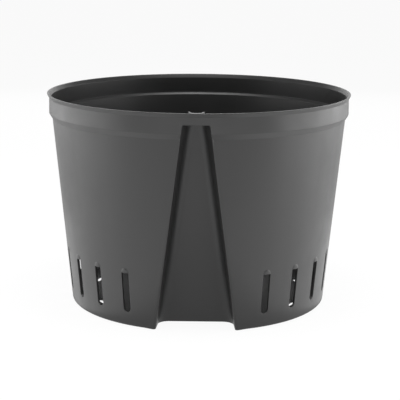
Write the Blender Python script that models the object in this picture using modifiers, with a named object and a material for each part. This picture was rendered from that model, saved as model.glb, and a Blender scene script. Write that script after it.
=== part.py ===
# Hydroculture culture pot, nominal size 28/19, modelled at real size in metres.
# The frame: origin on the ground under the pot's centre, +Z up, the gauge bay faces -Y.
# The real pot is one injection moulding. Its sections are separate objects here, divided
# along the moulding's own design lines by a hairline seam.

import math

import bmesh
import bpy
from mathutils import Matrix

# Overall sizes
POT_HEIGHT = 0.193
RIM_RADIUS = 0.139           # outer edge of the lip
BASE_RADIUS = 0.1181         # outer wall produced down to the ground
WALL = 0.002
SEAM = 0.0003                # hairline between neighbouring sections

# Rim: the lip flares out over a nearly upright band, which steps in to the tapered wall
LIP_HEIGHT = 0.0035
LIP_OVERHANG = 0.0018
LIP_ROUND = 0.0005
BAND_HEIGHT = 0.0141         # from the lip down to the step
BAND_FLARE = 0.0002          # the band is this much wider at its lower edge
STEP_HEIGHT = 0.0048
STEP_INSET = 0.0030
LEDGE_DROP = 0.0008          # the inside ledge starts this far below the step's top
LEDGE_SHELF = 0.0016         # width of its nearly level shelf
LEDGE_FALL = 0.0002          # how far the shelf falls to its edge
LEDGE_SLANT = 0.0017         # height of the slant below the shelf

# Foot: a standing ring with a rounded outer edge, and the floor carried above it
RING_HEIGHT = 0.0085
RING_WIDTH = 0.0032
RING_ROUND = 0.0020
FLOOR_LIFT = 0.004
FLOOR = 0.002

# Upright slots in the lower wall, each under a low domed hood
SLOT_PLACES = 24
SLOT_WIDTH = 0.0071
SLOT_FOOT = 0.013
SLOT_TOP = 0.049
SLOT_LAND = 0.004            # least wall left between a slot and the gauge bay
HOOD_HEIGHT = 0.0042
HOOD_PROUD = 0.0010
HOOD_SINK = 0.0002           # how far the hood's edges lie inside the wall's face
SLOTTED_WALL_TOP = 0.062

# Drain holes in the floor
DRAIN_RADIUS = 0.099
DRAIN_WIDTH = 0.0055
DRAIN_LENGTH = 0.0195

# Gauge bay: a tent shaped recess, open below and closed by a roof under the rim
RIM_OVER_BAY = 0.010         # the rim's height above the bay's roof
BAY_FOOT_HALF = 0.0345       # half width at the outer wall, at ground level
BAY_TOP_HALF = 0.01165       # half width at the band, at the roof
BAY_FOOT_DEPTH = 0.0296
BAY_TOP_DEPTH = 0.0137
CHEEK_FOOT_DRAW = 0.0019     # how much narrower the bay is at its back, at the ground
CHEEK_TOP_DRAW = 0.0059      # the same at the roof
BAY_FOOT_FILLET = 0.0100
BAY_TOP_FILLET = 0.0060
BAY_ROOF = 0.002

# Gauge guide: a U shaped collar on the bay's roof, up to the rim
GUIDE_FRONT_HALF = 0.0044    # half width inside, at the rim
GUIDE_MOUTH_HALF = 0.0057    # half width inside, at the open end
GUIDE_LENGTH = 0.0083
GUIDE_WALL = 0.0015
GUIDE_CORNER = 0.0028        # inside corner radius
GUIDE_LAND = 0.0030          # roof left between the gauge hole and the roof's back edge

# Faceting
TURN_STEPS = 96
ARC_STEPS = 5
BAY_LEVELS = 11
OVERCUT = 0.006              # how far cutters run past what they cut

PLASTIC_COLOR = (0.0112, 0.0118, 0.0118, 1.0)
PLASTIC_ROUGHNESS = 0.45


# Sizes that follow from the ones above

BAND_RADIUS = RIM_RADIUS - LIP_OVERHANG
LIP_BOTTOM = POT_HEIGHT - LIP_HEIGHT
BAND_BOTTOM = LIP_BOTTOM - BAND_HEIGHT
BAY_ROOF_UNDERSIDE = POT_HEIGHT - RIM_OVER_BAY
STEP_BOTTOM = BAND_BOTTOM - STEP_HEIGHT
BAND_FOOT_RADIUS = BAND_RADIUS + BAND_FLARE
WALL_TOP_RADIUS = BAND_FOOT_RADIUS - STEP_INSET
WALL_SLOPE = (WALL_TOP_RADIUS - BASE_RADIUS) / STEP_BOTTOM
SLOT_PITCH = 2 * math.pi / SLOT_PLACES


def wall_radius(z):
    """Outer radius of the tapered wall, produced past both of its ends."""
    return BASE_RADIUS + WALL_SLOPE * z


def outer_radius(z):
    """Outer radius of the whole pot at height z, leaving out the lip."""
    if z <= STEP_BOTTOM:
        return wall_radius(z)
    if z <= BAND_BOTTOM:
        share = (z - STEP_BOTTOM) / STEP_HEIGHT
        return WALL_TOP_RADIUS + STEP_INSET * share
    share = (z - BAND_BOTTOM) / (LIP_BOTTOM - BAND_BOTTOM)
    return BAND_FOOT_RADIUS - BAND_FLARE * share


def between(foot, top, z):
    """A value that runs straight from the ground to the bay's roof."""
    return foot + (top - foot) * z / BAY_ROOF_UNDERSIDE


def bay_half(z):
    return between(BAY_FOOT_HALF, BAY_TOP_HALF, z)


def bay_back_half(z):
    return bay_half(z) - between(CHEEK_FOOT_DRAW, CHEEK_TOP_DRAW, z)


def bay_back_y(z):
    foot = -(BASE_RADIUS - BAY_FOOT_DEPTH)
    top = -(outer_radius(BAY_ROOF_UNDERSIDE) - BAY_TOP_DEPTH)
    return between(foot, top, z)


def bay_fillet(z):
    """The inner corner's radius, wide at the ground and tight towards the roof."""
    left = 1.0 - min(z, BAY_ROOF_UNDERSIDE) / BAY_ROOF_UNDERSIDE
    return BAY_TOP_FILLET + (BAY_FOOT_FILLET - BAY_TOP_FILLET) * left * left


def cheek_front_y(z):
    """Where the cheek's face meets the pot's outer surface."""
    return -math.sqrt(outer_radius(z) ** 2 - bay_half(z) ** 2)


def cheek_slant(z):
    """The cheek's angle off Y, in plan."""
    return math.atan2(bay_half(z) - bay_back_half(z), bay_back_y(z) - cheek_front_y(z))


def cheek_face_x(y, z):
    return bay_half(z) - (y - cheek_front_y(z)) * math.tan(cheek_slant(z))


def cheek_width():
    """Thickness of a bay cheek measured along X, at the roof where it slants most."""
    z = BAY_ROOF_UNDERSIDE
    across = math.tan(cheek_slant(z))
    front = cheek_front_y(z)
    upward = (cheek_face_x(front, z) - cheek_face_x(front, z - BAY_ROOF)) / BAY_ROOF
    return WALL * math.sqrt(1.0 + across * across + upward * upward)


def arc(center_x, center_y, radius, start, end, steps):
    """Points along an arc, angles in radians from +X."""
    points = []
    for i in range(steps + 1):
        angle = start + (end - start) * i / steps
        points.append((center_x + radius * math.cos(angle), center_y + radius * math.sin(angle)))
    return points


# Blender helpers

def start_scene():
    for item in list(bpy.data.objects):
        bpy.data.objects.remove(item, do_unlink=True)
    pot = bpy.data.collections.new("hydroculture_pot")
    cutters = bpy.data.collections.new("cutters")
    bpy.context.scene.collection.children.link(pot)
    bpy.context.scene.collection.children.link(cutters)
    return pot, cutters


def plastic(name):
    material = bpy.data.materials.new(name)
    material.use_nodes = True
    shader = material.node_tree.nodes["Principled BSDF"]
    shader.inputs["Base Color"].default_value = PLASTIC_COLOR
    shader.inputs["Roughness"].default_value = PLASTIC_ROUGHNESS
    shader.inputs["Metallic"].default_value = 0.0
    return material


def add_object(name, mesh, collection):
    piece = bpy.data.objects.new(name, mesh)
    collection.objects.link(piece)
    return piece


def add_part(name, mesh):
    piece = add_object(name, mesh, POT)
    piece.data.materials.append(plastic(name + "_plastic"))
    return piece


def add_cutter(name, mesh):
    cutter = add_object(name, mesh, CUTTERS)
    cutter.hide_render = True
    cutter.display_type = "WIRE"
    return cutter


def closed_outline(name, profile):
    mesh = bpy.data.meshes.new(name)
    points = [(radius, 0.0, height) for radius, height in profile]
    edges = [(i, (i + 1) % len(points)) for i in range(len(points))]
    mesh.from_pydata(points, edges, [])
    return mesh


def turn(ring):
    """Turns a closed (radius, height) outline into a ring."""
    screw = ring.modifiers.new("turn", "SCREW")
    screw.axis = "Z"
    screw.angle = 2 * math.pi
    screw.steps = TURN_STEPS
    screw.render_steps = TURN_STEPS
    screw.use_merge_vertices = True
    screw.merge_threshold = 0.00001
    return ring


def turned(name, profile):
    """A section turned from its outline, given from the outer side's top downwards."""
    return turn(add_part(name, closed_outline(name, profile)))


def slab(outline, low, high):
    """A mesh of a flat (x, y) outline between two heights, from a filled 2D curve."""
    curve = bpy.data.curves.new("outline", "CURVE")
    curve.dimensions = "2D"
    curve.fill_mode = "BOTH"
    curve.extrude = (high - low) / 2
    spline = curve.splines.new("POLY")
    spline.points.add(len(outline) - 1)
    for point, (x, y) in zip(spline.points, outline):
        point.co = (x, y, 0.0, 1.0)
    spline.use_cyclic_u = True
    drawn = bpy.data.objects.new("outline", curve)
    bpy.context.scene.collection.objects.link(drawn)
    graph = bpy.context.evaluated_depsgraph_get()
    mesh = bpy.data.meshes.new_from_object(drawn.evaluated_get(graph))
    bpy.data.objects.remove(drawn, do_unlink=True)
    bpy.data.curves.remove(curve)
    shape = bmesh.new()
    shape.from_mesh(mesh)
    bmesh.ops.remove_doubles(shape, verts=shape.verts, dist=0.000001)
    bmesh.ops.translate(shape, verts=shape.verts, vec=(0.0, 0.0, (high + low) / 2))
    bmesh.ops.recalc_face_normals(shape, faces=shape.faces)
    shape.to_mesh(mesh)
    shape.free()
    return mesh


def upright(mesh, angle):
    """Stands a slab drawn in X and Y up to face outwards at an angle about the pot."""
    stand = Matrix.Rotation(math.pi / 2, 4, "X")
    mesh.transform(Matrix.Rotation(angle, 4, "Z") @ stand)
    return mesh


def joined(name, meshes):
    shape = bmesh.new()
    for mesh in meshes:
        shape.from_mesh(mesh)
    whole = bpy.data.meshes.new(name)
    shape.to_mesh(whole)
    shape.free()
    return whole


def combine(part, cutter, operation):
    """Cuts with another object, joins it on or trims to it, with a Boolean modifier."""
    boolean = part.modifiers.new(cutter.name, "BOOLEAN")
    boolean.operation = operation
    boolean.solver = "EXACT"
    boolean.object = cutter


def smooth(part):
    part.data.shade_smooth()


# Cutters and outlines that several sections share

def make_bay_wedge():
    """The prism that clears the bay and its cheeks out of the turned sections."""
    below = -OVERCUT
    clear = cheek_width() + SEAM
    foot = bay_half(below) + clear
    top = bay_half(BAY_ROOF_UNDERSIDE) + clear
    outline = [(-foot, below), (foot, below), (top, BAY_ROOF_UNDERSIDE), (-top, BAY_ROOF_UNDERSIDE)]
    near = BASE_RADIUS - BAY_FOOT_DEPTH - OVERCUT
    far = RIM_RADIUS + OVERCUT
    return add_cutter("bay_wedge", upright(slab(outline, near, far), 0.0))


def slot_angles():
    """Angles of the slots from the bay's middle, leaving out those that would meet the bay."""
    reach = bay_half(SLOT_FOOT) + cheek_width() + SLOT_LAND + SLOT_WIDTH / 2
    kept = []
    for place in range(SLOT_PLACES):
        angle = place * SLOT_PITCH
        beside = abs(math.sin(angle)) * wall_radius(SLOT_FOOT)
        if math.cos(angle) < 0 or beside > reach:
            kept.append(angle)
    return kept


def floor_bay_outline(z):
    """Plan of the bay's outside at height z, with a seam's clearance, for the floor's notch."""
    clear = cheek_width() + SEAM
    half = bay_half(z) + clear
    slant = cheek_slant(z)
    radius = bay_fillet(z) + clear
    run = radius * math.tan((math.pi / 2 - slant) / 2)
    center_x = bay_back_half(z) + clear - run
    center_y = bay_back_y(z) + clear - radius
    right = arc(center_x, center_y, radius, slant, math.pi / 2, ARC_STEPS)
    left = [(-x, y) for x, y in reversed(right)]
    front = -(RIM_RADIUS + OVERCUT)
    past = half + OVERCUT * math.sin(slant)
    return [(past, front), (half, cheek_front_y(z))] + right + left \
        + [(-half, cheek_front_y(z)), (-past, front)]


# The turned sections, from the top down

def make_rim_lip():
    bottom = LIP_BOTTOM + SEAM
    center = POT_HEIGHT - LIP_ROUND
    inner = RIM_RADIUS - WALL + LIP_ROUND
    outer_edge = arc(RIM_RADIUS - LIP_ROUND, center, LIP_ROUND, math.pi / 2, 0.0, ARC_STEPS)
    inner_edge = arc(inner, center, LIP_ROUND, math.pi, math.pi / 2, ARC_STEPS)
    outline = outer_edge + [(BAND_RADIUS, bottom), (BAND_RADIUS - WALL, bottom)] + inner_edge
    smooth(turned("rim_lip", outline))


def band_outline(bottom, top):
    return [(outer_radius(top), top), (outer_radius(bottom), bottom),
            (outer_radius(bottom) - WALL, bottom), (outer_radius(top) - WALL, top)]


def bridge_box(name, half):
    """A box round the short stretch of band that bridges the bay."""
    outline = [(-half, BAND_BOTTOM), (half, BAND_BOTTOM), (half, POT_HEIGHT), (-half, POT_HEIGHT)]
    near = BAND_RADIUS - WALL - OVERCUT
    return add_cutter(name, upright(slab(outline, near, RIM_RADIUS + OVERCUT), 0.0))


def make_rim_band():
    """The band in two sections: a ring that is open at the bay, and the bridge over the bay."""
    half = bay_half(BAY_ROOF_UNDERSIDE) + cheek_width()
    band = turned("rim_band", band_outline(BAND_BOTTOM + SEAM, LIP_BOTTOM))
    combine(band, BAY_WEDGE, "DIFFERENCE")
    combine(band, bridge_box("bridge_gap", half + SEAM), "DIFFERENCE")
    smooth(band)
    bridge = turned("rim_bridge", band_outline(BAY_ROOF_UNDERSIDE, LIP_BOTTOM))
    combine(bridge, bridge_box("bridge_trim", half), "INTERSECT")
    smooth(bridge)


def make_stacking_step():
    top = BAND_BOTTOM
    bottom = STEP_BOTTOM + SEAM
    ledge = top - LEDGE_DROP
    edge = ledge - LEDGE_FALL
    outline = [(BAND_FOOT_RADIUS, top), (WALL_TOP_RADIUS, bottom), (WALL_TOP_RADIUS - WALL, bottom),
               (WALL_TOP_RADIUS - WALL, edge - LEDGE_SLANT), (BAND_FOOT_RADIUS - WALL - LEDGE_SHELF, edge),
               (BAND_FOOT_RADIUS - WALL, ledge), (BAND_FOOT_RADIUS - WALL, top)]
    step = turned("stacking_step", outline)
    combine(step, BAY_WEDGE, "DIFFERENCE")
    smooth(step)


def wall_outline(bottom, top):
    return [(wall_radius(top), top), (wall_radius(bottom), bottom),
            (wall_radius(bottom) - WALL, bottom), (wall_radius(top) - WALL, top)]


def make_side_wall():
    wall = turned("side_wall", wall_outline(SLOTTED_WALL_TOP + SEAM, STEP_BOTTOM))
    combine(wall, BAY_WEDGE, "DIFFERENCE")
    smooth(wall)


def slot_mesh(angle):
    """One slot's cutter: flat at the top, round at the foot, right through the wall."""
    half = SLOT_WIDTH / 2
    foot = arc(0.0, SLOT_FOOT + half, half, math.pi, 2 * math.pi, 2 * ARC_STEPS)
    outline = foot + [(half, SLOT_TOP), (-half, SLOT_TOP)]
    near = wall_radius(SLOT_FOOT) - WALL - OVERCUT
    far = wall_radius(SLOT_TOP) + OVERCUT
    return upright(slab(outline, near, far), angle)


def hood_row(z, share):
    """The hood's outline at height z, scaled from its full width and bulge by share."""
    half = SLOT_WIDTH / 2 - HOOD_SINK
    radius = (half * half + HOOD_PROUD * HOOD_PROUD) / (2 * HOOD_PROUD)
    reach = math.asin(half / radius)
    upward = math.pi / 2
    face = arc(0.0, -radius * math.cos(reach), radius, upward + reach, upward - reach, 2 * ARC_STEPS)
    row = [(x * share, -(wall_radius(z) + rise * share - HOOD_SINK), z) for x, rise in face]
    inner = wall_radius(z) - WALL / 2
    return row + [(half * share, -inner, z), (-half * share, -inner, z)]


def hood_mesh(angle):
    """One hood: a low dome on the tapered wall, as wide as the slot that it stands over."""
    rows = [hood_row(SLOT_TOP - HOOD_PROUD, 1.0)]
    for share, rise in arc(0.0, 0.0, 1.0, 0.0, math.pi / 2, ARC_STEPS + 1)[:-1]:
        rows.append(hood_row(SLOT_TOP + HOOD_HEIGHT * rise, share))
    shape = bmesh.new()
    grid = [[shape.verts.new(point) for point in row] for row in rows]
    for lower, upper in zip(grid[:-1], grid[1:]):
        for i in range(len(lower)):
            j = (i + 1) % len(lower)
            shape.faces.new((lower[i], lower[j], upper[j], upper[i]))
    shape.faces.new(grid[0])
    shape.faces.new(grid[-1])
    bmesh.ops.recalc_face_normals(shape, faces=shape.faces)
    mesh = bpy.data.meshes.new("hood")
    shape.to_mesh(mesh)
    shape.free()
    mesh.transform(Matrix.Rotation(angle, 4, "Z"))
    return mesh


def make_slotted_wall():
    wall = turned("slotted_wall", wall_outline(RING_HEIGHT + SEAM, SLOTTED_WALL_TOP))
    hoods = joined("hoods", [hood_mesh(angle) for angle in slot_angles()])
    slots = joined("slots", [slot_mesh(angle) for angle in slot_angles()])
    combine(wall, add_cutter("hoods", hoods), "UNION")
    combine(wall, add_cutter("slots", slots), "DIFFERENCE")
    combine(wall, BAY_WEDGE, "DIFFERENCE")
    smooth(wall)


def make_standing_ring():
    """The foot of the wall, thicker than the wall and rounded outside, where the pot stands."""
    inner = BASE_RADIUS - RING_WIDTH
    corner = BASE_RADIUS - RING_ROUND
    rounding = arc(corner, RING_ROUND, RING_ROUND, 0.0, -math.pi / 2, ARC_STEPS)
    shelf = FLOOR_LIFT + FLOOR
    outline = [(wall_radius(RING_HEIGHT), RING_HEIGHT)] + rounding + \
              [(inner, 0.0), (inner, shelf), (wall_radius(RING_HEIGHT) - WALL, RING_HEIGHT)]
    ring = turned("standing_ring", outline)
    combine(ring, BAY_WEDGE, "DIFFERENCE")
    smooth(ring)


# The floor

def drain_mesh(angle):
    """One drain's cutter: a slot that runs round the floor, with round ends."""
    half = DRAIN_WIDTH / 2
    sweep = (DRAIN_LENGTH - DRAIN_WIDTH) / DRAIN_RADIUS / 2
    outward = -math.pi / 2
    start = outward - sweep
    end = outward + sweep
    outer = arc(0.0, 0.0, DRAIN_RADIUS + half, start, end, ARC_STEPS)
    inner = arc(0.0, 0.0, DRAIN_RADIUS - half, end, start, ARC_STEPS)
    end_x = DRAIN_RADIUS * math.cos(end)
    end_y = DRAIN_RADIUS * math.sin(end)
    start_x = DRAIN_RADIUS * math.cos(start)
    start_y = DRAIN_RADIUS * math.sin(start)
    end_cap = arc(end_x, end_y, half, end, end + math.pi, ARC_STEPS)[1:-1]
    start_cap = arc(start_x, start_y, half, start + math.pi, start + 2 * math.pi, ARC_STEPS)[1:-1]
    outline = outer + end_cap + inner + start_cap
    mesh = slab(outline, FLOOR_LIFT - OVERCUT, FLOOR_LIFT + FLOOR + OVERCUT)
    mesh.transform(Matrix.Rotation(angle, 4, "Z"))
    return mesh


def make_floor_plate():
    radius = BASE_RADIUS - RING_WIDTH - SEAM
    shape = bmesh.new()
    bmesh.ops.create_cone(shape, cap_ends=True, segments=TURN_STEPS, radius1=radius, radius2=radius, depth=FLOOR)
    bmesh.ops.translate(shape, verts=shape.verts, vec=(0.0, 0.0, FLOOR_LIFT + FLOOR / 2))
    mesh = bpy.data.meshes.new("floor_plate")
    shape.to_mesh(mesh)
    shape.free()
    floor = add_part("floor_plate", mesh)
    drains = joined("drains", [drain_mesh(angle) for angle in slot_angles()])
    notch = slab(floor_bay_outline(FLOOR_LIFT), FLOOR_LIFT - OVERCUT, FLOOR_LIFT + FLOOR + OVERCUT)
    combine(floor, add_cutter("drains", drains), "DIFFERENCE")
    combine(floor, add_cutter("floor_notch", notch), "DIFFERENCE")


# The gauge bay: its visible face is lofted between level sections and given the wall's thickness

def bay_heights():
    foot = -OVERCUT
    rise = STEP_BOTTOM - foot
    tapered = [foot + rise * i / (BAY_LEVELS - 1) for i in range(BAY_LEVELS)]
    return tapered + [BAND_BOTTOM, BAY_ROOF_UNDERSIDE + OVERCUT]


def cheek_row(z):
    """The right cheek's face at height z, from past the outer wall in to the fillet's end."""
    half = bay_half(z)
    slant = cheek_slant(z)
    radius = bay_fillet(z)
    run = radius * math.tan((math.pi / 2 - slant) / 2)
    center_x = bay_back_half(z) - run
    center_y = bay_back_y(z) - radius
    fillet = arc(center_x, center_y, radius, slant, math.pi / 2, ARC_STEPS)
    past_x = half + OVERCUT * math.sin(slant)
    past_y = cheek_front_y(z) - OVERCUT * math.cos(slant)
    return [(past_x, past_y)] + fillet


def back_row(z):
    """The back's face at height z, between the two fillets."""
    x, y = cheek_row(z)[-1]
    half = x - SEAM
    return [(half, y), (0.0, y), (-half, y)]


def make_pot_outside():
    """A thick ring as high as the bay whose outside is the pot's, to trim the bay's panels."""
    inner = BASE_RADIUS - BAY_FOOT_DEPTH - 2 * OVERCUT
    top = BAY_ROOF_UNDERSIDE - SEAM
    outline = [(outer_radius(top), top), (BAND_FOOT_RADIUS, BAND_BOTTOM),
               (WALL_TOP_RADIUS, STEP_BOTTOM), (BASE_RADIUS, 0.0), (inner, 0.0), (inner, top)]
    return turn(add_cutter("pot_outside", closed_outline("pot_outside", outline)))


def lofted(name, rows, heights, trim):
    """A face through level rows of points, thickened away from the bay and trimmed."""
    shape = bmesh.new()
    grid = []
    for row, z in zip(rows, heights):
        grid.append([shape.verts.new((x, y, z)) for x, y in row])
    for lower, upper in zip(grid[:-1], grid[1:]):
        for i in range(len(lower) - 1):
            shape.faces.new((lower[i], upper[i], upper[i + 1], lower[i + 1]))
    mesh = bpy.data.meshes.new(name)
    shape.to_mesh(mesh)
    shape.free()
    panel = add_part(name, mesh)
    solid = panel.modifiers.new("wall", "SOLIDIFY")
    solid.thickness = WALL
    solid.offset = -1.0
    solid.use_even_offset = True
    combine(panel, trim, "INTERSECT")
    smooth(panel)


def make_bay_panels():
    heights = bay_heights()
    trim = make_pot_outside()
    right = [cheek_row(z) for z in heights]
    left = [[(-x, y) for x, y in reversed(row)] for row in right]
    back = [back_row(z) for z in heights]
    lofted("bay_right_cheek", right, heights, trim)
    lofted("bay_left_cheek", left, heights, trim)
    lofted("bay_back", back, heights, trim)


def guide_outline(grow, front, back):
    """A U in plan: sides that draw together from the open end to rounded corners at the rim."""
    corner = GUIDE_CORNER + grow
    center_x = GUIDE_FRONT_HALF - GUIDE_CORNER
    center_y = front + corner
    mouth = GUIDE_MOUTH_HALF + grow
    left = arc(-center_x, center_y, corner, math.pi, 1.5 * math.pi, ARC_STEPS)
    right = arc(center_x, center_y, corner, 1.5 * math.pi, 2 * math.pi, ARC_STEPS)
    return [(-mouth, back)] + left + right + [(mouth, back)]


def guide_front():
    """The front of the guide's outside, just clear of the band's inner face."""
    inner = BAND_RADIUS - WALL - SEAM
    half = GUIDE_FRONT_HALF + GUIDE_WALL
    return -math.sqrt(inner ** 2 - half ** 2)


def roof_back():
    return bay_back_y(BAY_ROOF_UNDERSIDE) + WALL


def make_bay_roof():
    z = BAY_ROOF_UNDERSIDE
    clear = cheek_width()
    reach = BAND_RADIUS - WALL - SEAM
    half = bay_half(z) + clear
    back_half = bay_back_half(z) + clear
    swing = math.asin(half / reach)
    front = arc(0.0, 0.0, reach, -math.pi / 2 - swing, -math.pi / 2 + swing, 2 * ARC_STEPS)
    outline = front + [(back_half, roof_back()), (-back_half, roof_back())]
    roof = add_part("bay_roof", slab(outline, z, z + BAY_ROOF))
    hole = guide_outline(0.0, guide_front() + GUIDE_WALL, roof_back() - GUIDE_LAND)
    cutter = slab(hole, z - OVERCUT, z + BAY_ROOF + OVERCUT)
    combine(roof, add_cutter("gauge_hole", cutter), "DIFFERENCE")


def make_gauge_guide():
    tips = guide_front() + GUIDE_LENGTH
    outer = guide_outline(GUIDE_WALL, guide_front(), tips)
    inner = guide_outline(0.0, guide_front() + GUIDE_WALL, tips)
    outline = outer + list(reversed(inner))
    low = BAY_ROOF_UNDERSIDE + BAY_ROOF + SEAM
    add_part("gauge_guide", slab(outline, low, POT_HEIGHT))


POT, CUTTERS = start_scene()
BAY_WEDGE = make_bay_wedge()
make_rim_lip()
make_rim_band()
make_stacking_step()
make_side_wall()
make_slotted_wall()
make_standing_ring()
make_floor_plate()
make_bay_panels()
make_bay_roof()
make_gauge_guide()
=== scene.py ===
# Dresses the hydroculture culture pot for the library: one seamless moulded shell, its floor,
# and the guide for the water gauge, in a plain pale studio.

import math

import bmesh
import bpy
from mathutils import Matrix, Vector


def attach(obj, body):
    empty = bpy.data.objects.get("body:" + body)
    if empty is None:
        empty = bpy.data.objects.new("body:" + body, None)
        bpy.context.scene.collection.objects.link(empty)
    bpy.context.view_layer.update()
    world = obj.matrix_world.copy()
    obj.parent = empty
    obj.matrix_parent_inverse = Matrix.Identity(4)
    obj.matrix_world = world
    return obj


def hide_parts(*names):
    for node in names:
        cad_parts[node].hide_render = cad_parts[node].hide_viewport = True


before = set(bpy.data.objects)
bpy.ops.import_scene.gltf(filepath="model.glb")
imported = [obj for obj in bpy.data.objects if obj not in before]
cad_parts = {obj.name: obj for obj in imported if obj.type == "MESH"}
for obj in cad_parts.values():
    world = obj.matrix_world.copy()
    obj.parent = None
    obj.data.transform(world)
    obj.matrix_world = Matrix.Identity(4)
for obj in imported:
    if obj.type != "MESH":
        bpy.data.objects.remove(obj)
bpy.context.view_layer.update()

mm = 0.001
print("frame loaded:", len(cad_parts), "sections")


def linearColor(hexText):
    # sRGB hex, as a colour picker shows it, to the linear values that Blender shades with
    channels = [int(hexText[i:i + 2], 16) / 255 for i in (1, 3, 5)]
    linear = [c / 12.92 if c <= 0.04045 else ((c + 0.055) / 1.055) ** 2.4 for c in channels]
    return (*linear, 1.0)


def addNode(tree, kind, values=None, links=None, **settings):
    # one node with its settings, its socket values and what feeds it
    node = tree.nodes.new(kind)
    for key, value in settings.items():
        setattr(node, key, value)
    for key, value in (values or {}).items():
        node.inputs[key].default_value = value
    for key, source in (links or {}).items():
        tree.links.new(source, node.inputs[key])
    return node


def linkObject(name, data):
    piece = bpy.data.objects.new(name, data)
    bpy.context.scene.collection.objects.link(piece)
    return piece


def meshFrom(name, vertices, faces):
    # vertices in mm, faces turned to look outwards
    mesh = bpy.data.meshes.new(name)
    mesh.from_pydata([(x * mm, y * mm, z * mm) for x, y, z in vertices], [], faces)
    shape = bmesh.new()
    shape.from_mesh(mesh)
    bmesh.ops.recalc_face_normals(shape, faces=shape.faces)
    shape.to_mesh(mesh)
    shape.free()
    return mesh


def applyModifiers(piece):
    graph = bpy.context.evaluated_depsgraph_get()
    baked = bpy.data.meshes.new_from_object(piece.evaluated_get(graph))
    piece.modifiers.clear()
    piece.data = baked


def finishSurface(piece, material, sharpAngle):
    # smooth all over, with a crease where faces meet more sharply than the angle
    piece.data.materials.clear()
    piece.data.materials.append(material)
    piece.data.shade_smooth()
    piece.data.set_sharp_from_angle(angle=math.radians(sharpAngle))


def spread(start, end, count):
    return [start + (end - start) * i / (count - 1) for i in range(count)]


def mix(a, b, share):
    return a + (b - a) * share


# the photograph's viewing angle
view = {
    "place": (18.46, -1164.08, 347.06),  # mm
    "tilt": 77.584,                      # degrees up from straight down
    "turn": 0.83,
    "roll": 0.41,
    "lens": 114.44,                      # mm on a 36 mm sensor
}

cameraData = bpy.data.cameras.new("camera")
cameraData.lens = view["lens"]
cameraData.sensor_width = 36
camera = linkObject("camera", cameraData)
camera.matrix_world = (
    Matrix.Translation([v * mm for v in view["place"]])
    @ Matrix.Rotation(math.radians(view["turn"]), 4, "Z")
    @ Matrix.Rotation(math.radians(view["tilt"]), 4, "X")
    @ Matrix.Rotation(math.radians(view["roll"]), 4, "Z")
)
bpy.context.scene.camera = camera
print("camera placed")


# the moulding, all in mm
pot = {
    "height": 193.0,
    "wall": 2.0,
    "footRadius": 118.1,      # the tapered wall produced to the ground
    "stepRadius": 134.4,      # top of the tapered wall
    "stepLow": 170.6,
    "bandRadius": 137.4,
    "stepHigh": 175.4,
    "bandTopRadius": 137.2,
    "bandTop": 189.5,
    "lipRadius": 139.0,
    "lipLow": 192.5,
    "lipDraw": 0.1,           # how much the lip's outer face leans in above that
    "ledgeHigh": 174.6,       # inside, a nearly level shelf and a short slant under it
    "ledgeEdge": 174.4,
    "ledgeLow": 172.7,
    "shelf": 1.6,
    "ringInside": 114.9,      # inside of the thicker foot
    "ringTop": 8.5,
    "floorLow": 4.0,
    "floorTop": 6.0,
    "footRound": 2.2,
    "bayFootRound": 0.7,
}

bay = {
    "roof": 183.0,
    "roofTop": 185.0,
    "footHalf": 34.5,
    "topHalf": 11.65,
    "footBack": -88.5,
    "topBack": -123.6,
    "footDraw": 1.9,          # how much narrower the bay is at its back
    "topDraw": 5.9,
    "footFillet": 10.0,
    "topFillet": 7.2,
    "footCorner": 2.0,        # rounding where the cheek meets the outer wall
    "topCorner": 0.5,
    "roofEdge": 0.6,          # rounding of the band's lower edge over the bay
    "openingRound": 1.6,      # the opening's upper corners, seen from the front
}

slot = {
    "places": 24,             # round the whole pot
    "pitch": 15.0,            # degrees
    "first": 2,               # the first place with a slot, counted from the bay's middle
    "width": 7.1,
    "foot": 13.0,
    "top": 49.0,
    "edge": 0.25,             # soft edge on the outer face
}

hood = {
    "proud": 0.8,             # at the slot's top
    "height": 4.2,
    "below": 3,               # how far down the slot its cheeks run, where the cut takes them away
}

# how round each edge of the wall's profile is, in mm
rounding = {
    "stepFoot": 0.6,
    "stepTop": 1.3,
    "bandTop": 0.8,
    "lipSide": 0.3,
    "lipTop": 0.25,
    "lipInside": 0.5,
    "ledge": 0.3,
    "shelf": 0.2,
}

# how many points each part of the plan gets, from the bay's middle round to the back
columns = {
    "back": 8,
    "fillet": 9,
    "cheek": 8,
    "corner": 7,
    "beside": 10,
    "fade": 4,                # over which the opening's rounding dies out on the wall
    "lastBeside": 22.5,       # degrees from the bay's middle
    "apart": 0.002,           # radians, least step from there to the first steady column
    "tightest": 0.2,          # mm, least radius of the bay's outer corner
    # mm from a slot's middle, none on a corner of the slot, where the cut would leave slivers
    "slot": [0.0, 0.7, 1.4, 2.0, 2.5, 2.9, 3.2, 3.4, 3.5, 3.66, 4.1, 5.2, 8.0, 12.0],
}

bayColumns = columns["back"] - 1 + columns["fillet"] + columns["cheek"] - 2
movingColumns = bayColumns + columns["corner"]
slotPlaces = [place for place in range(slot["places"])
              if min(place, slot["places"] - place) >= slot["first"]]


def roundedPath(points):
    # corners given as (radius, z, how round) to a smooth list of (radius, z)
    path = []
    for i, (r, z, soft) in enumerate(points):
        if soft == 0:
            path.append((r, z))
            continue
        before = Vector(points[i - 1][:2]) - Vector((r, z))
        after = Vector(points[i + 1][:2]) - Vector((r, z))
        reach = soft / math.tan(before.angle(after) / 2)
        start = Vector((r, z)) + before.normalized() * reach
        end = Vector((r, z)) + after.normalized() * reach
        # a quadratic curve is close enough to an arc at this size
        for t in spread(0, 1, 6):
            a, b, c = (1 - t) ** 2, 2 * t * (1 - t), t * t
            path.append((a * start.x + b * r + c * end.x, a * start.y + b * z + c * end.y))
    return path


lipMiddle = pot["lipRadius"] - pot["wall"] / 2

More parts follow.
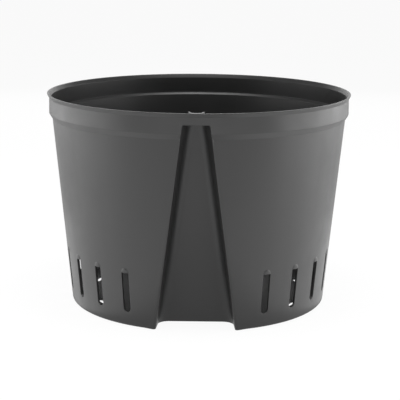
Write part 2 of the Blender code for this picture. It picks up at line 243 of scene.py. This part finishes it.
outer = roundedPath([
    (pot["footRadius"], 0, 0),
    (pot["stepRadius"], pot["stepLow"], rounding["stepFoot"]),
    (pot["bandRadius"], pot["stepHigh"], rounding["stepTop"]),
    (pot["bandTopRadius"], pot["bandTop"], rounding["bandTop"]),
    (pot["lipRadius"], pot["lipLow"], rounding["lipSide"]),
    (pot["lipRadius"] - pot["lipDraw"], pot["height"], rounding["lipTop"]),
    (lipMiddle, pot["height"], 0),
])

inner = roundedPath([
    (pot["footRadius"] - pot["wall"], 0, 0),
    (pot["stepRadius"] - pot["wall"], pot["ledgeLow"], rounding["ledge"]),
    (pot["bandRadius"] - pot["wall"] - pot["shelf"], pot["ledgeEdge"], rounding["shelf"]),
    (pot["bandRadius"] - pot["wall"], pot["ledgeHigh"], rounding["ledge"]),
    (pot["bandTopRadius"] - pot["wall"], pot["bandTop"], rounding["bandTop"]),
    (pot["lipRadius"] - pot["wall"], pot["height"], rounding["lipInside"]),
    (lipMiddle, pot["height"], 0),
])


def radiusOn(path, z):
    for (r0, z0), (r1, z1) in zip(path[:-1], path[1:]):
        if z0 <= z <= z1 and z1 > z0:
            return mix(r0, r1, (z - z0) / (z1 - z0))
    return path[0][0] if z < path[0][1] else path[-1][0]


def bayGeometry(z):
    # the bay's plan at height z: slant of the cheek, back wall, and the circles of its corners
    share = z / bay["roof"]
    radius = radiusOn(outer, z)
    half = mix(bay["footHalf"], bay["topHalf"], share)
    backHalf = half - mix(bay["footDraw"], bay["topDraw"], share)
    backY = mix(bay["footBack"], bay["topBack"], share)
    frontY = -math.sqrt(radius ** 2 - half ** 2)
    slant = math.atan2(half - backHalf, backY - frontY)
    fillet = mix(bay["topFillet"], bay["footFillet"], (1 - min(share, 1)) ** 2)
    run = fillet * math.tan((math.pi / 2 - slant) / 2)
    # the outer corner's circle touches the cheek's line and the outer wall
    corner = mix(bay["footCorner"], bay["topCorner"], min(share, 1))
    normal = Vector((math.cos(slant), math.sin(slant)))
    inward = Vector((-math.sin(slant), math.cos(slant)))
    start = Vector((half, frontY)) + corner * normal
    along = start.dot(inward)
    reach = -along - math.sqrt(along ** 2 - start.length_squared + (radius - corner) ** 2)
    return {"radius": radius, "slant": slant, "backY": backY, "fillet": fillet, "normal": normal,
            "filletCenter": Vector((backHalf - run, backY - fillet)),
            "corner": corner, "cornerCenter": start + reach * inward}


def fixedAngles():
    # columns that stay at one angle all the way up, close together at each slot
    reference = radiusOn(outer, slot["top"])
    angles = []
    for place in slotPlaces:
        for distance in columns["slot"]:
            for side in ((-1, 1) if distance else (1,)):
                angle = math.radians(place * slot["pitch"]) + side * distance / reference
                if math.radians(columns["lastBeside"]) + columns["apart"] < angle <= math.pi:
                    angles.append(angle)
    return sorted(angles)


steadyAngles = fixedAngles()


def hoodRise(angle, z):
    # a low dome over the slot's top: as wide as the slot, and half an ellipse from the front
    if not slot["top"] - hood["below"] < z < slot["top"] + hood["height"]:
        return 0.0
    pitch = math.radians(slot["pitch"])
    aside = (angle - round(angle / pitch) * pitch) * radiusOn(outer, slot["top"])
    across = aside / (slot["width"] / 2)
    up = max(0.0, (z - slot["top"]) / hood["height"])
    inside = 1 - across ** 2 - up ** 2
    hasSlot = angle > pitch * (slot["first"] - 0.5)
    return hood["proud"] * math.sqrt(inside) if inside > 0 and hasSlot else 0.0


def planRow(z, inset, bayInset, hooded=False):
    # right half of the plan from the bay's middle round to the back, bay included.
    # inset moves the round wall inwards, bayInset moves the bay's surface into the material
    shape = bayGeometry(z)
    points = []
    fx, fy = shape["filletCenter"]
    filletRadius = shape["fillet"] + bayInset
    for x in spread(0, fx, columns["back"])[:-1]:
        points.append((x, shape["backY"] + bayInset))
    for angle in spread(math.pi / 2, shape["slant"], columns["fillet"]):
        points.append((fx + filletRadius * math.cos(angle), fy + filletRadius * math.sin(angle)))
    center = shape["cornerCenter"]
    touch = center - max(shape["corner"] - bayInset, columns["tightest"]) * shape["normal"]
    foot = points[-1]
    for share in spread(0, 1, columns["cheek"])[1:-1]:
        points.append((mix(foot[0], touch.x, share), mix(foot[1], touch.y, share)))
    # the corner swings from facing the cheek to facing outwards
    facing = shape["slant"] + math.pi
    outward = math.atan2(center.y, center.x) % (2 * math.pi)
    for share in spread(0, 1, columns["corner"]):
        angle = mix(facing, outward, share)
        radius = max(shape["corner"] - mix(bayInset, inset, share), columns["tightest"])
        points.append((center.x + radius * math.cos(angle), center.y + radius * math.sin(angle)))
    radius = shape["radius"] - inset
    first = math.atan2(center.x, -center.y)
    for angle in spread(first, math.radians(columns["lastBeside"]), columns["beside"] + 1)[1:]:
        points.append((radius * math.sin(angle), -radius * math.cos(angle)))
    for angle in steadyAngles:
        out = radius + (hoodRise(angle, z) if hooded else 0.0)
        points.append((out * math.sin(angle), -out * math.cos(angle)))
    return points


halfCount = len(planRow(20, 0, 0))


def wallShare(i):
    # 0 for a column in the bay, 1 on the round wall, and a ramp between
    return min(1.0, max(0.0, (i - movingColumns + 1) / columns["beside"]))


def openingDrop(i, x):
    # how far the opening's rounded upper corner hangs below the bay's roof
    radius = bay["openingRound"]
    away = min(max(x - bay["topHalf"] + radius, 0.0), radius)
    fade = 1 - min(1.0, max(0.0, (i - movingColumns + 1) / columns["fade"]))
    return (radius - math.sqrt(radius ** 2 - away ** 2)) * fade


def roundRow(z, radius, reference, overBay=0.0, drops=None):
    # above the bay's roof the wall is a plain ring. Each bay column keeps its x, so that the
    # roof is a flat fan between two rows
    points = []
    for i, (x, y) in enumerate(reference):
        drop = drops[i] if drops else 0.0
        r = radius(z - drop)
        if i < movingColumns:
            r -= overBay * min(1.0, max(0.0, 1 - (i - bayColumns) / (columns["corner"] - 1)))
            points.append((x, -math.sqrt(r * r - x * x), z - drop))
        else:
            length = math.hypot(x, y)
            points.append((x * r / length, y * r / length, z - drop))
    return points


def footRows():
    # the rounding under the wall, tight where the bay's panels stand
    rows = []
    for angle in spread(0, math.pi / 2, 7):
        row = []
        for i in range(halfCount):
            radius = mix(pot["bayFootRound"], pot["footRound"], wallShare(i))
            z = radius * (1 - math.cos(angle))
            inset = radius * (1 - math.sin(angle))
            row.append((*planRow(z, inset, inset)[i], z))
        rows.append(row)
    return rows


def outsideRows():
    hoodTop = slot["top"] + hood["height"]
    heights = spread(4, 44, 8) + [46.3, 47.0, 47.9, 48.5] + spread(48.9, hoodTop + 0.3, 17)
    heights += [56, 61] + spread(68, 168, 10)
    heights += [z for r, z in outer if 168 < z < 176.5] + spread(178, 182.4, 6)
    turnIn = 176.5            # the opening's corner rounding starts above this
    rows = []
    for z in sorted(set(round(h, 3) for h in heights)):
        share = max(0.0, (z - turnIn) / (bay["roof"] - turnIn))
        row = []
        for i, (x, y) in enumerate(planRow(z, 0, 0, hooded=True)):
            low = z - openingDrop(i, x) * share
            row.append((x, y, z) if low == z else (*planRow(low, 0, 0)[i], low))
        rows.append(row)
    return rows


def outsideRadius(z):
    return radiusOn(outer, z)


def rimRows():
    # the bay's roof, the band's rounded lower edge over the bay, and the band and lip above
    roof, edge = bay["roof"], bay["roofEdge"]
    under = planRow(roof, 0, 0)
    drops = [openingDrop(i, x) for i, (x, y) in enumerate(under)]
    rows = [[(*planRow(roof - drop, 0, 0)[i], roof - drop) for i, drop in enumerate(drops)]]
    for angle in spread(0, math.pi / 2, 5):
        z = roof + edge * (1 - math.cos(angle))
        rows.append(roundRow(z, outsideRadius, under, edge * (1 - math.sin(angle)), drops))
    for radius, z in outer:
        if z > roof + edge + 0.5:
            rows.append(roundRow(z, lambda height: radius, under))
    for radius, z in reversed(inner[:-1]):
        if z > bay["roofTop"] + 0.6:
            rows.append(roundRow(z, lambda height: radius, under))
    return rows


def insideRows():
    top = bay["roofTop"]
    ring = planRow(top, radiusOn(outer, top) - radiusOn(inner, top), pot["wall"])
    over = roundRow(top, lambda height: radiusOn(inner, top), ring)
    rows = [[(x, y, z + 0.4 * min(1.0, max(0.0, (i - bayColumns) / columns["corner"])))
             for i, (x, y, z) in enumerate(over)]]
    heights = [top, 183.5, 181, 178, 176.5]
    heights += sorted((z for r, z in inner if 165 < z < 176), reverse=True)
    heights += spread(160, 12, 10) + [pot["ringTop"], 7.6, 6.8, 6.0, 3.0, 0.8]
    for z in heights:
        wallInset = radiusOn(outer, z) - radiusOn(inner, z)
        ringInset = radiusOn(outer, z) - pot["ringInside"]
        # under its top the ring slopes in to its full thickness
        thicken = min(1.0, max(0.0, (pot["ringTop"] - z) / (pot["ringTop"] - pot["floorTop"])))
        row = []
        for i in range(halfCount):
            inset = mix(wallInset, ringInset, thicken * wallShare(i))
            row.append((*planRow(z, inset, pot["wall"])[i], z))
        rows.append(row)
    # small rounding to the standing face
    last = []
    for i, (x, y, z) in enumerate(rows[-1]):
        length = math.hypot(x, y)
        grown = 1 + 0.3 * wallShare(i) / length
        last.append((x * grown, y * grown, 0.0))
    rows.append(last)
    return rows


def shellMesh():
    # mirrors each half row across the bay's middle and closes the rows into a tube
    rows = [row + [(-x, y, z) for x, y, z in reversed(row[1:-1])]
            for row in footRows() + outsideRows() + rimRows() + insideRows()]
    count = len(rows[0])
    faces = []
    for j in range(len(rows)):
        k = (j + 1) % len(rows)
        for i in range(count):
            n = (i + 1) % count
            faces.append((j * count + i, j * count + n, k * count + n, k * count + i))
    print("shell:", len(rows), "rows of", count, "points")
    return meshFrom("pot_shell", [point for row in rows for point in row], faces)


def slotPlugs():
    # every slot as one lofted plug, a little wider at the outer face so that its edge is soft
    half, edge = slot["width"] / 2, slot["edge"]
    depths = [(-8.0, 0.0), (-edge, 0.0)]
    for angle in spread(0, math.pi / 2, 5)[1:]:
        depths.append((-edge + edge * math.sin(angle), edge * (1 - math.cos(angle))))
    depths.append((4.0, edge))
    vertices, faces = [], []
    for place in slotPlaces:
        turn = Matrix.Rotation(math.radians(place * slot["pitch"]), 3, "Z")
        base = len(vertices)
        for depth, grow in depths:
            outline = []
            for angle in spread(math.pi, 2 * math.pi, 18):
                outline.append(((half + grow) * math.cos(angle),
                                slot["foot"] + half + (half + grow) * math.sin(angle)))
            top = slot["top"] + grow * 0.6
            outline += [(half + grow, top), (-half - grow, top)]
            for x, z in outline:
                y = -(math.sqrt(radiusOn(outer, z) ** 2 - x * x) + depth)
                vertices.append(turn @ Vector((x, y, z)))
        ring = len(outline)
        for level in range(len(depths) - 1):
            low, high = base + level * ring, base + (level + 1) * ring
            for i in range(ring):
                n = (i + 1) % ring
                faces.append((low + i, low + n, high + n, high + i))
        faces.append(tuple(base + i for i in range(ring)))
        faces.append(tuple(base + (len(depths) - 1) * ring + i for i in range(ring)))
    return linkObject("slot plugs", meshFrom("slot plugs", vertices, faces))


def cutWith(piece, cutter):
    cut = piece.modifiers.new("cut", "BOOLEAN")
    cut.operation = "DIFFERENCE"
    cut.solver = "EXACT"
    cut.object = cutter
    applyModifiers(piece)
    bpy.data.objects.remove(cutter, do_unlink=True)


def extrudedPlan(name, outlines, low, high, bevel=0.0):
    # a flat shape with holes, drawn as a filled curve and made into a mesh
    curve = bpy.data.curves.new(name, "CURVE")
    curve.dimensions = "2D"
    curve.fill_mode = "BOTH"
    curve.extrude = (high - low) / 2 * mm
    for outline in outlines:
        spline = curve.splines.new("POLY")
        spline.points.add(len(outline) - 1)
        for point, (x, y) in zip(spline.points, outline):
            point.co = (x * mm, y * mm, 0, 1)
        spline.use_cyclic_u = True
    drawn = linkObject(name, curve)
    graph = bpy.context.evaluated_depsgraph_get()
    mesh = bpy.data.meshes.new_from_object(drawn.evaluated_get(graph))
    bpy.data.objects.remove(drawn, do_unlink=True)
    shape = bmesh.new()
    shape.from_mesh(mesh)
    bmesh.ops.remove_doubles(shape, verts=shape.verts, dist=0.001 * mm)
    bmesh.ops.translate(shape, verts=shape.verts, vec=(0, 0, (low + high) / 2 * mm))
    bmesh.ops.recalc_face_normals(shape, faces=shape.faces)
    shape.to_mesh(mesh)
    shape.free()
    piece = linkObject(name, mesh)
    if bevel:
        soft = piece.modifiers.new("soft edges", "BEVEL")
        soft.width = bevel * mm
        soft.segments = 3
        soft.limit_method = "ANGLE"
        soft.angle_limit = math.radians(40)
        applyModifiers(piece)
    return piece


smallest = 0.003              # mm, far less than any shape here needs


def joinSlivers(piece):
    # joins the points that a cut leaves too close together, and takes out faces with no area
    shape = bmesh.new()
    shape.from_mesh(piece.data)
    bmesh.ops.remove_doubles(shape, verts=shape.verts, dist=smallest * mm)
    bmesh.ops.dissolve_degenerate(shape, edges=shape.edges, dist=smallest * mm)
    shape.to_mesh(piece.data)
    shape.free()


shell = linkObject("pot_shell", shellMesh())
cutWith(shell, slotPlugs())
joinSlivers(shell)
print("slots cut")


# the U shaped collar for the gauge's stem, grown out of the rim's inside
guide = {
    "frontHalf": 4.4,         # half width inside, at the rim
    "mouthHalf": 5.7,         # half width inside, at the open end
    "wall": 1.5,
    "corner": 2.8,
    "face": -136.8,           # outside of its front, grown into the rim's wall
    "front": -133.3,          # inside of its front
    "tip": -126.5,            # where its ribs end
    "holeEnd": -124.6,
    "edge": 0.3,
    "overcut": 5,             # how far the hole's cutter runs past the bay's roof, up and down
    "sunk": 0.5,              # how far the collar stands in the roof
    "belowRim": 0.05,
}


def guidePlan(grow, front, back):
    corner = guide["corner"] + grow
    centerX = guide["frontHalf"] - guide["corner"]
    mouth = guide["mouthHalf"] + grow
    points = [(-mouth, back)]
    for side, start in ((-1, math.pi), (1, 1.5 * math.pi)):
        for angle in spread(start, start + math.pi / 2, 7):
            points.append((side * centerX + corner * math.cos(angle),
                           front + corner + corner * math.sin(angle)))
    return points + [(mouth, back)]


gaugeHole = extrudedPlan("gauge hole", [guidePlan(0, guide["front"], guide["holeEnd"])],
                         bay["roof"] - guide["overcut"], bay["roofTop"] + guide["overcut"])
cutWith(shell, gaugeHole)
joinSlivers(shell)
collarPlan = guidePlan(guide["wall"], guide["face"], guide["tip"])
collarPlan += guidePlan(0, guide["front"], guide["tip"])[::-1]
collar = extrudedPlan("gauge_guide_collar", [collarPlan], bay["roofTop"] - guide["sunk"],
                      pot["height"] - guide["belowRim"], guide["edge"])
print("gauge guide made")


# the floor, with one drain slot to each wall slot
drain = {
    "radius": 99.0,
    "width": 5.5,
    "length": 19.5,
    "lap": 0.3,               # how far the floor runs into the wall round it
    "edge": 0.3,
}


def drainPlan(degrees):
    radius, half = drain["radius"], drain["width"] / 2
    sweep = (drain["length"] - drain["width"]) / radius / 2
    outward = math.radians(degrees) - math.pi / 2
    points = []
    for reach, end in ((radius + half, sweep), (radius - half, -sweep)):
        for angle in spread(outward - end, outward + end, 9):
            points.append((reach * math.cos(angle), reach * math.sin(angle)))
        middle = outward + end
        turn = middle if end > 0 else middle + math.pi
        for angle in spread(turn, turn + math.pi, 9)[1:-1]:
            points.append((radius * math.cos(middle) + half * math.cos(angle),
                           radius * math.sin(middle) + half * math.sin(angle)))
    return points


ringWidth = radiusOn(outer, pot["floorLow"]) - pot["ringInside"]
floorPlan = planRow(pot["floorLow"], ringWidth - drain["lap"], pot["wall"] - drain["lap"])
floorPlan += [(-x, y) for x, y in reversed(floorPlan[1:-1])]
drainPlans = [drainPlan(place * slot["pitch"]) for place in slotPlaces]
floor = extrudedPlan("floor_plate_drained", [floorPlan] + drainPlans,
                     pot["floorLow"], pot["floorTop"], drain["edge"])
print("floor made")


moulded = {
    "color": "#1a1a1a",
    "cloudColor": "#1e1e1e",
    "cloud": 22.0,            # mm across a patch of slightly paler plastic
    "roughness": 0.45,
    "ior": 1.49,
    "grain": 0.35,            # mm between the mould's spark pits, drawn coarser than real to show
    "grainDepth": 0.05,
}


def mouldedPolypropylene():
    # near black polypropylene from a fine spark eroded mould: a soft satin sheen that
    # brightens to the sides, never a mirror
    material = bpy.data.materials.new("moulded polypropylene")
    material.use_nodes = True
    tree = material.node_tree
    shader = tree.nodes["Principled BSDF"]
    shader.inputs["IOR"].default_value = moulded["ior"]
    shader.inputs["Metallic"].default_value = 0.0
    place = addNode(tree, "ShaderNodeTexCoord")
    cloudy = addNode(tree, "ShaderNodeTexNoise",
                     {"Scale": 1 / (moulded["cloud"] * mm), "Detail": 3.0, "Roughness": 0.55},
                     {"Vector": place.outputs["Object"]})
    color = addNode(tree, "ShaderNodeMix",
                    {"A": linearColor(moulded["color"]), "B": linearColor(moulded["cloudColor"])},
                    {"Factor": cloudy.outputs["Fac"]}, data_type="RGBA")
    tree.links.new(color.outputs["Result"], shader.inputs["Base Color"])
    satin = addNode(tree, "ShaderNodeMapRange",
                    {"From Min": 0.3, "From Max": 0.7, "To Min": moulded["roughness"] - 0.03,
                     "To Max": moulded["roughness"] + 0.04},
                    {"Value": cloudy.outputs["Fac"]})
    tree.links.new(satin.outputs["Result"], shader.inputs["Roughness"])
    grain = addNode(tree, "ShaderNodeTexNoise",
                    {"Scale": 1 / (moulded["grain"] * mm), "Detail": 2.0, "Roughness": 0.6},
                    {"Vector": place.outputs["Object"]})
    bump = addNode(tree, "ShaderNodeBump",
                   {"Strength": 0.25, "Distance": moulded["grainDepth"] * mm},
                   {"Height": grain.outputs["Fac"]})
    tree.links.new(bump.outputs["Normal"], shader.inputs["Normal"])
    return material


shellPlastic = mouldedPolypropylene()
pieces = [
    (shell, 32, ["rim_lip", "rim_band", "rim_bridge", "stacking_step", "side_wall", "slotted_wall",
                 "standing_ring", "bay_back", "bay_left_cheek", "bay_right_cheek", "bay_roof"]),
    (collar, 40, ["gauge_guide"]),
    (floor, 40, ["floor_plate"]),
]
for piece, sharpAngle, nodes in pieces:
    finishSurface(piece, shellPlastic, sharpAngle)
    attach(piece, "root")
    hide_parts(*nodes)
for piece in (collar, floor):
    # their broad faces stay flat to the light between the soft edges
    piece.modifiers.new("flat faces", "WEIGHTED_NORMAL").keep_sharp = True
    applyModifiers(piece)
print("pieces finished")


studio = {
    "paper": "#f2f2f2",
    "reach": 30000,           # mm from the pot to the paper's edge, out of sight from a low view
    "gap": 0.2,               # mm under the standing face
    "seenWhite": 0.93,        # share of the floor that is plain white, the rest takes shadow
    "worldLight": 0.3,
}

# place in m, degrees round and up from level that it faces, width and height in m, watts.
# The low panels lie beside the pot, so that its wall brightens to the sides while its inside
# stays dark
lamps = {
    "left box": ((-0.75, 0.07, 0.21), (-90, 0), (1.15, 0.4), 5.0),
    "right box": ((0.75, 0.12, 0.21), (90, 0), (1.15, 0.4), 6.1),
    "left panel": ((-0.38, -0.177, 0.001), (-65, 90), (0.6, 0.6), 0.85),
    "right panel": ((0.406, -0.109, 0.001), (75, 90), (0.6, 0.6), 0.95),
    "front box": ((0.0, -0.95, 0.12), (0, 0), (1.7, 0.2), 3.2),
    "top box": ((0.0, -0.25, 1.5), (0, -90), (1.0, 0.6), 18.0),
    "back box": ((0.0, 1.5, 0.55), (180, 0), (2.0, 0.6), 8.0),
}


def seenDirectly(tree):
    # 1 for what the eye sees, straight or in a gloss, and 0 for light on its way to a surface
    path = addNode(tree, "ShaderNodeLightPath")
    straight = addNode(tree, "ShaderNodeMath", operation="ADD",
                       links={0: path.outputs["Is Camera Ray"], 1: path.outputs["Is Glossy Ray"]})
    seen = addNode(tree, "ShaderNodeMath", operation="ADD", use_clamp=True,
                   links={0: straight.outputs["Value"], 1: path.outputs["Is Transmission Ray"]})
    return seen.outputs["Value"]


def studioPaper():
    # matte white paper: white to the camera, and it keeps a light shadow of the pot
    material = bpy.data.materials.new("matte white paper")
    material.use_nodes = True
    tree = material.node_tree
    shader = tree.nodes["Principled BSDF"]
    shader.inputs["Base Color"].default_value = linearColor(studio["paper"])
    shader.inputs["Roughness"].default_value = 0.9
    white = addNode(tree, "ShaderNodeEmission", {"Color": (1, 1, 1, 1), "Strength": 1.0})
    share = addNode(tree, "ShaderNodeMath", {1: studio["seenWhite"]}, {0: seenDirectly(tree)},
                    operation="MULTIPLY")
    both = addNode(tree, "ShaderNodeMixShader",
                   links={0: share.outputs["Value"], 1: shader.outputs["BSDF"],
                          2: white.outputs["Emission"]})
    tree.links.new(both.outputs["Shader"], tree.nodes["Material Output"].inputs["Surface"])
    return material


reach, under = studio["reach"], -studio["gap"]
corners = [(-reach, -reach, under), (reach, -reach, under), (reach, reach, under), (-reach, reach, under)]
ground = linkObject("studio_floor", meshFrom("studio_floor", corners, [(0, 1, 2, 3)]))
ground.data.materials.append(studioPaper())

world = bpy.data.worlds.new("studio")
bpy.context.scene.world = world
world.use_nodes = True
sky = world.node_tree.nodes["Background"]
sky.inputs["Color"].default_value = (1, 1, 1, 1)
sky.inputs["Strength"].default_value = studio["worldLight"]


def softbox(name):
    place, (around, up), size, watts = lamps[name]
    data = bpy.data.lights.new(name, "AREA")
    data.shape = "RECTANGLE"
    data.size, data.size_y = size
    data.energy = watts
    lamp = linkObject(name, data)
    lamp.matrix_world = (
        Matrix.Translation(place)
        @ Matrix.Rotation(math.radians(around), 4, "Z")
        @ Matrix.Rotation(math.radians(90 + up), 4, "X")
    )
    lamp.visible_camera = False


for name in lamps:
    softbox(name)
bpy.context.scene.view_settings.view_transform = "Standard"
print("studio lit")
